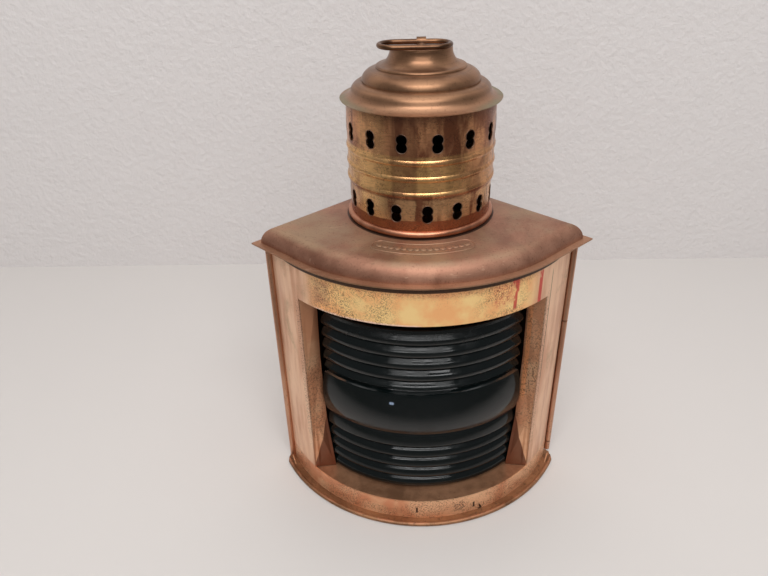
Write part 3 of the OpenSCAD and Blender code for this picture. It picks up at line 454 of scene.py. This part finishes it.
# Near black for soot and for painted shade: the head band stands for the dark gap under the roof, the flue
# and lens channels for shade inside
soot_and_shade = aged_metal("soot_and_shade_copper", srgb(52, 36, 28), srgb(30, 22, 18), srgb(12, 10, 9), (0.5, 0.65), 0.6)
ring_copper = aged_metal("ring_copper", srgb(204, 146, 116), srgb(172, 114, 86), srgb(104, 60, 42),
                         (0.32, 0.44))
green_glass = lens_glass()
roof_copper = roof_metal()
chimney_copper = drum_metal()
olive_brass = crown_metal()
front_brass = front_metal()
side_copper = wall_metal()
reveal_copper = reveal_metal()
base_copper = base_metal()
clear_glass = Shader("clear_glass").finish((0.93, 0.96, 0.96, 1), 0.03, 0.0, Transmission_Weight=1.0,
                                           IOR=1.46)
cotton = aged_metal("wick_cotton", srgb(226, 218, 198), srgb(206, 196, 172), srgb(120, 104, 84),
                    (0.85, 0.95), 0.3, 0.0)

FINISHES = {
    base_copper: ["base_plate", "base_ears"],
    floor_bronze: ["raised_floor"],
    soot_and_shade: ["inner_flue", "head_band", "lens_channel_left", "lens_channel_right", "lens_top_channel"],
    roof_copper: ["roof"],
    front_brass: ["front_plate"],
    reveal_copper: ["window_reveals"],
    side_copper: ["left_wall", "side_door", "latch_jamb", "hinge_post"],
    chimney_copper: ["chimney_collar", "vent_drum"],
    ring_copper: ["foot_ring"],
    olive_brass: ["crown"],
    wire_metal: ["hanging_bail", "bail_strap", "strap_rivets"],
    steel: ["hinge_pin", "catch_rivet", "wick_spindle"],
    green_glass: ["lens"],
    lamp_brass: ["door_catch", "lamp_ring", "oil_font", "font_collar", "burner_cup", "wick_tube", "wick_knob",
                 "flame_cone", "glass_gallery"],
    clear_glass: ["glass_chimney"],
    cotton: ["wick"],
}
for material, names in FINISHES.items():
    for name in names:
        mesh = nodes[name].data
        mesh.materials.clear()
        mesh.materials.append(material)


class Growth(Tree):
    """Builds one Geometry Nodes tree with named inputs."""

    KINDS = {float: "NodeSocketFloat", int: "NodeSocketInt", bpy.types.Object: "NodeSocketObject",
             bpy.types.Material: "NodeSocketMaterial"}

    def __init__(self, name, **values):
        self.tree = bpy.data.node_groups.new(name, "GeometryNodeTree")
        self.tree.interface.new_socket("Geometry", in_out="OUTPUT", socket_type="NodeSocketGeometry")
        self.values = {}
        for key, value in values.items():
            kind = next(k for k in self.KINDS if isinstance(value, k))
            socket = self.tree.interface.new_socket(key, in_out="INPUT", socket_type=self.KINDS[kind])
            self.values[socket.identifier] = value
        self.given = self.tree.nodes.new("NodeGroupInput").outputs

    def place(self):
        position = self.node("GeometryNodeInputPosition").outputs["Position"]
        split = self.node("ShaderNodeSeparateXYZ", Vector=position)
        return split.outputs["X"], split.outputs["Y"], split.outputs["Z"]

    def joined(self, *parts):
        made = self.node("GeometryNodeJoinGeometry")
        for part in parts:
            self.tree.links.new(part, made.inputs["Geometry"])
        return made.outputs["Geometry"]

    def moved_to(self, geometry, position):
        return self.node("GeometryNodeSetPosition", Geometry=geometry, Position=position).outputs["Geometry"]

    def copied(self, points, shape, **more):
        made = self.node("GeometryNodeInstanceOnPoints", Points=points, Instance=shape, **more)
        return made.outputs["Instances"]

    def wire(self, curve, radius, sides=8):
        profile = self.node("GeometryNodeCurvePrimitiveCircle", Resolution=sides, Radius=radius)
        return self.node("GeometryNodeCurveToMesh", Curve=curve, Profile_Curve=profile.outputs["Curve"],
                         Fill_Caps=True).outputs["Mesh"]

    def wrapped(self, geometry, radius, height=0.0):
        """Bends a shape drawn in X (across) and Z (up) round the chimney's axis, in front of it."""
        x, y, z = self.place()
        angle = self.math("DIVIDE", x, radius)
        reach = self.math("SUBTRACT", radius, y)
        across = self.product(self.math("SINE", angle), reach)
        deep = self.product(self.math("COSINE", angle), reach, -1.0)
        return self.moved_to(geometry, self.xyz(across, deep, self.total(z, height)))

    def dropped_on(self, geometry, target):
        """Lowers every point straight down onto the target's surface."""
        x, y, _ = self.place()
        ground = self.node("GeometryNodeObjectInfo", Object=target).outputs["Geometry"]
        cast = self.node("GeometryNodeRaycast", Target_Geometry=ground)
        for socket in cast.inputs:
            if socket.name == "Source Position":
                self.feed(socket, self.xyz(x, y, 0.4))
            elif socket.name == "Ray Direction":
                self.feed(socket, (0.0, 0.0, -1.0))
        return self.moved_to(geometry, cast.outputs["Hit Position"])

    def grow(self, name, geometry, body="body", slot=None):
        """Finishes the tree and turns its result into a plain mesh that rides on a body."""
        real = self.node("GeometryNodeRealizeInstances", Geometry=geometry).outputs["Geometry"]
        coated = self.node("GeometryNodeSetMaterial", Geometry=real, Material=self.given["Finish"])
        smooth = self.node("GeometryNodeSetShadeSmooth", Geometry=coated.outputs["Geometry"])
        out = self.tree.nodes.new("NodeGroupOutput")
        self.tree.links.new(smooth.outputs["Geometry"], out.inputs["Geometry"])
        seed = bpy.data.objects.new(name + "_seed", bpy.data.meshes.new(name + "_seed"))
        bpy.context.collection.objects.link(seed)
        modifier = seed.modifiers.new("growth", "NODES")
        modifier.node_group = self.tree
        for identifier, value in self.values.items():
            modifier[identifier] = value
        bpy.context.view_layer.update()
        grown = seed.evaluated_get(bpy.context.evaluated_depsgraph_get())
        mesh = bpy.data.meshes.new_from_object(grown)
        mesh.name = name
        bpy.data.objects.remove(seed)
        piece = bpy.data.objects.new(name, mesh)
        bpy.context.collection.objects.link(piece)
        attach(piece, body)
        return piece


def vent_edges(name, radius, height, number, first_turn):
    """Pale worn edges round every figure-eight vent of one row."""
    g = Growth(name, Radius=radius, Height=height, Count=number, Turn=math.radians(first_turn),
               Lobe=VENT_LOBE_R, Half_Step=VENT_HALF_STEP, Edge=VENT_EDGE_R, Finish=bare_edge)
    given = g.given
    meet = g.math("ARCSINE", g.math("DIVIDE", given["Half_Step"], given["Lobe"]))
    arc = g.node("GeometryNodeCurveArc", {"mode": "RADIUS"}, Resolution=18, Radius=given["Lobe"],
                 Start_Angle=g.product(meet, -1.0), Sweep_Angle=g.total(math.pi, g.product(meet, 2.0)))
    x, y, _ = g.place()
    upper = g.moved_to(arc.outputs["Curve"], g.xyz(x, 0.0, g.total(y, given["Half_Step"])))
    lower = g.node("GeometryNodeTransform", Geometry=upper, Rotation=(0.0, math.pi, 0.0)).outputs["Geometry"]
    edge = g.wrapped(g.wire(g.joined(upper, lower), given["Edge"], 6), given["Radius"], given["Height"])
    spots = g.node("GeometryNodeMeshLine", Count=given["Count"], Offset=(0.0, 0.0, 0.0)).outputs["Mesh"]
    index = g.node("GeometryNodeInputIndex").outputs["Index"]
    step = g.math("DIVIDE", 2 * math.pi, given["Count"])
    turned = g.xyz(0.0, 0.0, g.total(g.product(index, step), given["Turn"]))
    g.grow(name, g.copied(spots, edge, Rotation=turned), slot="copper_sheet")


def roof_panel(roof):
    """Low raised rim on the roof in front of the chimney, with a row of plain round studs inside it."""
    g = Growth("roof_panel", Radius=PANEL_R, Long=PANEL_LONG, Wide=PANEL_WIDE, Rim=PANEL_RIM,
               Count=PANEL_BEADS, Stud=BEAD_R, Roof=roof, Finish=roof_copper)
    given = g.given
    frame_line = g.node("GeometryNodeCurvePrimitiveQuadrilateral", Width=given["Long"], Height=given["Wide"])
    rounded = g.node("GeometryNodeFilletCurve", {"mode": "POLY"}, Curve=frame_line.outputs["Curve"], Count=8,
                     Radius=g.product(given["Wide"], CORNER_SHARE))
    fine = g.node("GeometryNodeResampleCurve", Curve=rounded.outputs["Curve"], Count=150).outputs["Curve"]
    rim = g.wire(g.dropped_on(g.wrapped(fine, given["Radius"]), given["Roof"]), given["Rim"])
    half = g.product(given["Long"], ROW_SHARE)
    line = g.node("GeometryNodeCurvePrimitiveLine", Start=g.xyz(g.product(half, -1.0), 0.0, 0.0),
                  End=g.xyz(half, 0.0, 0.0))
    spots = g.node("GeometryNodeResampleCurve", Curve=line.outputs["Curve"], Count=given["Count"])
    spots = g.dropped_on(g.wrapped(spots.outputs["Curve"], given["Radius"]), given["Roof"])
    ball = g.node("GeometryNodeMeshUVSphere", Segments=16, Rings=8, Radius=given["Stud"]).outputs["Mesh"]
    row = g.copied(spots, ball, Scale=(1.0, 1.0, BEAD_FLAT))
    g.grow("roof_panel", g.joined(rim, row), slot="bronzed_sheet")


def smooth_piece(name, points, faces, material, replaced, crease=35):
    """A closed skin that stands for one CAD node, with smooth curves and sharp folds."""
    mesh = bpy.data.meshes.new(name)
    mesh.from_pydata(points, [], faces)
    work = bmesh.new()
    work.from_mesh(mesh)
    bmesh.ops.remove_doubles(work, verts=work.verts, dist=1e-7)
    loose = [edge for edge in work.edges if not edge.link_faces]
    bmesh.ops.delete(work, geom=loose, context="EDGES")
    work.to_mesh(mesh)
    work.free()
    mesh.materials.append(material)
    mesh.shade_smooth()
    mesh.set_sharp_from_angle(angle=math.radians(crease))
    piece = bpy.data.objects.new(name, mesh)
    bpy.context.collection.objects.link(piece)
    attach(piece, "body")
    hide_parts(replaced)
    return piece


def looped(rows, closed_rows):
    """Faces between rows of points that run round; where closed_rows is true the last row joins the first."""
    width = len(rows[0])
    last = len(rows) if closed_rows else len(rows) - 1
    faces = []
    for i in range(last):
        low, high = i * width, (i + 1) % len(rows) * width
        faces += [(low + j, low + (j + 1) % width, high + (j + 1) % width, high + j) for j in range(width)]
    return [point for row in rows for point in row], faces


def revolved(outline, centre_y, low, high, steps):
    """Rows of a closed outline of (radius, height), turned round an upright axis from low to high degrees."""
    rows = []
    for i in range(steps + 1):
        angle = math.radians(low + (high - low) * i / steps)
        s, c = math.sin(angle), math.cos(angle)
        rows.append([(r * s, centre_y - r * c, z) for r, z in outline])
    return rows


def quarter(start, wide, deep, low, high, number, hollow=False):
    """Quarter of an ellipse in (radius, depth) from start: rounded outwards, or hollow."""
    points = []
    for i in range(number + 1):
        t = math.radians(low + (high - low) * i / number)
        along, down = (1 - math.cos(t), math.sin(t)) if hollow else (math.sin(t), 1 - math.cos(t))
        points.append((start[0] + wide * along, start[1] + deep * down))
    return points


def lens_ring(groove_low, crest, groove_high):
    """Outline of one ring from groove to groove: the long face swells, the short one is nearly flat."""
    depth = LENS_R - GROOVE_R
    below, above = crest - groove_low, groove_high - crest
    shares = [i / 10 for i in range(10)]
    swell_below, swell_above = (SWELL if face > RING_SHORT * 1.1 else FLAT for face in (below, above))
    rise = [(GROOVE_R + depth * (1 - (1 - t) ** swell_below), groove_low + below * t) for t in shares]
    fall = [(GROOVE_R + depth * (1 - t ** swell_above), crest + above * t) for t in shares]
    return rise + fall


def glass_lens():
    """The lens with rounded rings, from its foot up the outer face and down the smooth back."""
    outline = []
    belt_foot = BELT_Z - BELT_H / 2 - BELT_GROOVE
    for k in range(RINGS):
        crest = LOW_CREST + k * RING_PITCH
        foot = max(crest - RING_SHORT, LENS_LOW)
        end = crest + RING_PITCH - RING_SHORT if k < RINGS - 1 else belt_foot
        outline += lens_ring(foot, crest, end)
    outline.append((GROOVE_R, belt_foot))
    round_r = ((BELT_H / 2) ** 2 + BELT_BULGE ** 2) / (2 * BELT_BULGE)
    half_turn = math.asin(BELT_H / 2 / round_r)
    for i in range(-14, 15):
        t = half_turn * i / 14
        outline.append((LENS_R + BELT_BULGE - round_r * (1 - math.cos(t)), BELT_Z + round_r * math.sin(t)))
    start = BELT_Z + BELT_H / 2 + BELT_GROOVE
    for k in reversed(range(RINGS)):
        crest = HIGH_CREST - k * RING_PITCH
        outline += lens_ring(start, crest, crest + RING_SHORT)
        start = crest + RING_SHORT
    outline += [(GROOVE_R, start), (GROOVE_R, LENS_TOP), (LENS_BACK, LENS_TOP), (LENS_BACK, LENS_LOW)]
    points, faces = looped(revolved(outline, FOCUS_Y, -LENS_HALF, LENS_HALF, 90), False)
    count = len(outline)
    faces = [tuple(reversed(face)) for face in faces]
    faces.append(tuple(range(count)))
    faces.append(tuple(reversed(range(len(points) - count, len(points)))))
    return smooth_piece("glass_lens", points, faces, green_glass, "lens")


def spun_crown():
    """The crown as it is spun: hollow neck, three swelling tiers and a flared rim."""
    upper = [(0, 0)] + quarter((0.0189, 0), 0.0014, 0.0014, 0, 85, 5)
    upper += quarter((0.0203, 0.0016), 0.0083, 0.0098, 0, 80, 8, hollow=True)
    upper += quarter((0.0285, 0.0115), 0.0015, 0.0015, 10, 100, 5)
    upper += quarter((0.0296, 0.0137), 0.0096, 0.0071, 14, 96, 9)
    upper += quarter((0.0389, 0.0214), 0.0078, 0.0064, 14, 74, 7)
    upper += quarter((0.0464, 0.0262), 0.0078, 0.0054, 12, 90, 7, hollow=True)
    lower = [(max(r - CROWN_SHEET / 2, 0), depth + CROWN_SHEET) for r, depth in reversed(upper)]
    outline = [(r, CROWN_TOP - depth) for r, depth in upper + lower]
    points, faces = looped(revolved(outline, 0.0, 0, 360, 128), False)
    return smooth_piece("spun_crown", points, faces, olive_brass, "crown", 30)


def roof_outline(inset):
    """Closed plan of the roof, moved in by inset: front arc, straight run-outs, tips and the rear corner."""
    inset += ROOF_GAP
    reach, corner = ROOF_R - inset, (ROOF_D - inset) * math.sqrt(2)
    s, c = math.sin(math.radians(ROOF_RUN_OUT)), math.cos(math.radians(ROOF_RUN_OUT))
    tip_x = (reach - c * FOCUS_Y + c * corner) / (s + c)
    run, tip, rear = (reach * s, FOCUS_Y - reach * c), (tip_x, corner - tip_x), (0.0, corner)
    right = []
    for i in range(1, 37):
        angle = math.radians(ROOF_RUN_OUT * i / 36)
        right.append((reach * math.sin(angle), FOCUS_Y - reach * math.cos(angle)))
    for start, end, number in ((run, tip, 5), (tip, rear, 24)):
        right += [tuple(a + (b - a) * i / number for a, b in zip(start, end)) for i in range(1, number + 1)]
    left = [(-x, y) for x, y in reversed(right[:-1])]
    return [(0.0, FOCUS_Y - reach)] + right + left


def pressed_roof():
    """The roof's sheet: flat flange, round shoulder and a low slope to the chimney, with its under face."""
    face_z = ROOF_Z + SHEET
    top_z = face_z + SHOULDER_H + SLOPE_H

    def rows_of(inset, drop):
        flat = FLANGE + inset
        turns = [math.radians(9 * i) for i in range(11)]
        made = [[(x, y, face_z - drop + SHOULDER_H * math.sin(a))
                 for x, y in roof_outline(flat + SHOULDER_W * (1 - math.cos(a)))] for a in turns]
        edge = roof_outline(flat + SHOULDER_W)
        for radius in (COLLAR_R + NECK_FLAT, COLLAR_R + NECK_GAP):
            made.append([(x * radius / math.hypot(x, y), y * radius / math.hypot(x, y), top_z - drop)
                         for x, y in edge])
        return made

    rim = [[(x, y, z) for x, y in roof_outline(0)] for z in (ROOF_Z, face_z)]
    rows = rim + rows_of(0, 0) + rows_of(SHEET, SHEET)[::-1]
    points, faces = looped(rows, True)
    return smooth_piece("pressed_roof", points, faces, roof_copper, "roof")


for row_name, row_sizes in VENT_ROWS.items():
    vent_edges(row_name, *row_sizes)
glass_lens()
spun_crown()
roof_panel(pressed_roof())

# Stage, light and camera
STAGE_HALF, WALL_Y, WALL_FOOT, WALL_TOP = 3, 0.342, -0.2, 2.5
MIRROR_FADE = (-0.10, -0.21)  # in reflections the table darkens between these depths: its front edge is near
AIM = (0, 0, 0.15)  # the lantern's middle, to which most lights point


def stage_plane(name, corners, material):
    mesh = bpy.data.meshes.new(name)
    mesh.from_pydata(corners, [], [(0, 1, 2, 3)])
    mesh.materials.append(material)
    made = bpy.data.objects.new(name, mesh)
    bpy.context.collection.objects.link(made)


def plaster():
    """Pale rough wall, seen from its front only, so that it never hides the lantern from behind."""
    s = Shader("wall_plaster")
    s.bump(s.total(s.noise(150, 5, 0.6), s.product(s.noise(30, 3), 0.6)), 0.45, 0.004)
    made = s.finish(srgb(220, 215, 213), 0.9, 0.0)
    both = s.node("ShaderNodeMixShader")
    clear = s.node("ShaderNodeBsdfTransparent").outputs[0]
    for socket, source in zip(both.inputs, (s.node("ShaderNodeNewGeometry").outputs["Backfacing"],
                                            s.bsdf.outputs[0], clear)):
        s.tree.links.new(source, socket)
    s.tree.links.new(both.outputs[0], s.tree.nodes["Material Output"].inputs["Surface"])
    return made


def table_white():
    """White table top, which its mirror image in polished parts shows darker near its front edge."""
    s = Shader("table_white")
    s.bump(s.noise(40, 4), 0.1, 0.001)
    mirrored = s.node("ShaderNodeLightPath").outputs["Is Glossy Ray"]
    fading = s.product(mirrored, s.steps(s.y, *MIRROR_FADE, 0, 0.8))
    return s.finish(s.mix(fading, srgb(210, 205, 201), srgb(20, 19, 19)), 0.5, 0.0)


stage_plane("table_top", [(-STAGE_HALF, -STAGE_HALF, 0), (STAGE_HALF, -STAGE_HALF, 0),
                          (STAGE_HALF, STAGE_HALF, 0), (-STAGE_HALF, STAGE_HALF, 0)], table_white())
stage_plane("back_wall", [(STAGE_HALF, WALL_Y, WALL_TOP), (-STAGE_HALF, WALL_Y, WALL_TOP),
                          (-STAGE_HALF, WALL_Y, WALL_FOOT), (STAGE_HALF, WALL_Y, WALL_FOOT)], plaster())


def area(name, place, target, width, height, power):
    light = bpy.data.lights.new(name, "AREA")
    light.shape, light.size, light.size_y = "RECTANGLE", width, height
    light.energy = power
    made = bpy.data.objects.new(name, light)
    made.location = place
    made.rotation_euler = (Vector(target) - Vector(place)).to_track_quat("-Z", "Y").to_euler()
    bpy.context.collection.objects.link(made)


area("ceiling", (0.0, -0.1, 2.0), (0, 0.05, 0), 2.2, 1.6, 17)
area("window_low", (0.04, -1.6, 0.95), AIM, 1.48, 0.15, 4.2)
area("window_high", (0.04, -1.6, 1.33), AIM, 1.48, 0.13, 3.2)
area("skylight", (0.08, -1.16, 1.72), AIM, 1.6, 0.4, 18.5)
area("small_lamp", (-0.75, -1.25, 2.25), AIM, 0.07, 0.07, 2.2)

ROOM_LIGHT, ROOM_SEEN = 0.26, 0.45  # the room's own light, and how much paler it looks to the camera
world = bpy.data.worlds.new("room")
world.use_nodes = True
room = world.node_tree
background = room.nodes["Background"]
background.inputs["Color"].default_value = (0.80, 0.80, 0.82, 1)
strength = room.nodes.new("ShaderNodeMath")
strength.operation = "MULTIPLY_ADD"
strength.inputs[1].default_value, strength.inputs[2].default_value = ROOM_SEEN, ROOM_LIGHT
room.links.new(room.nodes.new("ShaderNodeLightPath").outputs["Is Camera Ray"], strength.inputs[0])
room.links.new(strength.outputs[0], background.inputs["Strength"])
scene = bpy.context.scene
scene.world = world
scene.view_settings.view_transform = "Standard"

# Camera fitted to the photo's outlines
CAMERA_PLACE = (-0.01654, -0.43535, 0.41051)
CAMERA_YAW, CAMERA_PITCH, CAMERA_ROLL = -0.025721, 0.525666, -0.024928
CAMERA_LENS, SENSOR = 30.173, 36.0
level = Vector((math.sin(CAMERA_YAW), math.cos(CAMERA_YAW), 0))
right0 = Vector((math.cos(CAMERA_YAW), -math.sin(CAMERA_YAW), 0))
forward = level * math.cos(CAMERA_PITCH) + Vector((0, 0, -1)) * math.sin(CAMERA_PITCH)
up0 = right0.cross(forward)
right = right0 * math.cos(CAMERA_ROLL) + up0 * math.sin(CAMERA_ROLL)
up = up0 * math.cos(CAMERA_ROLL) - right0 * math.sin(CAMERA_ROLL)
camera_data = bpy.data.cameras.new("camera")
camera_data.lens, camera_data.sensor_width = CAMERA_LENS, SENSOR
camera = bpy.data.objects.new("camera", camera_data)
bpy.context.collection.objects.link(camera)
turn = Matrix((right, up, -forward)).transposed().to_4x4()
camera.matrix_world = Matrix.Translation(CAMERA_PLACE) @ turn
scene.camera = camera
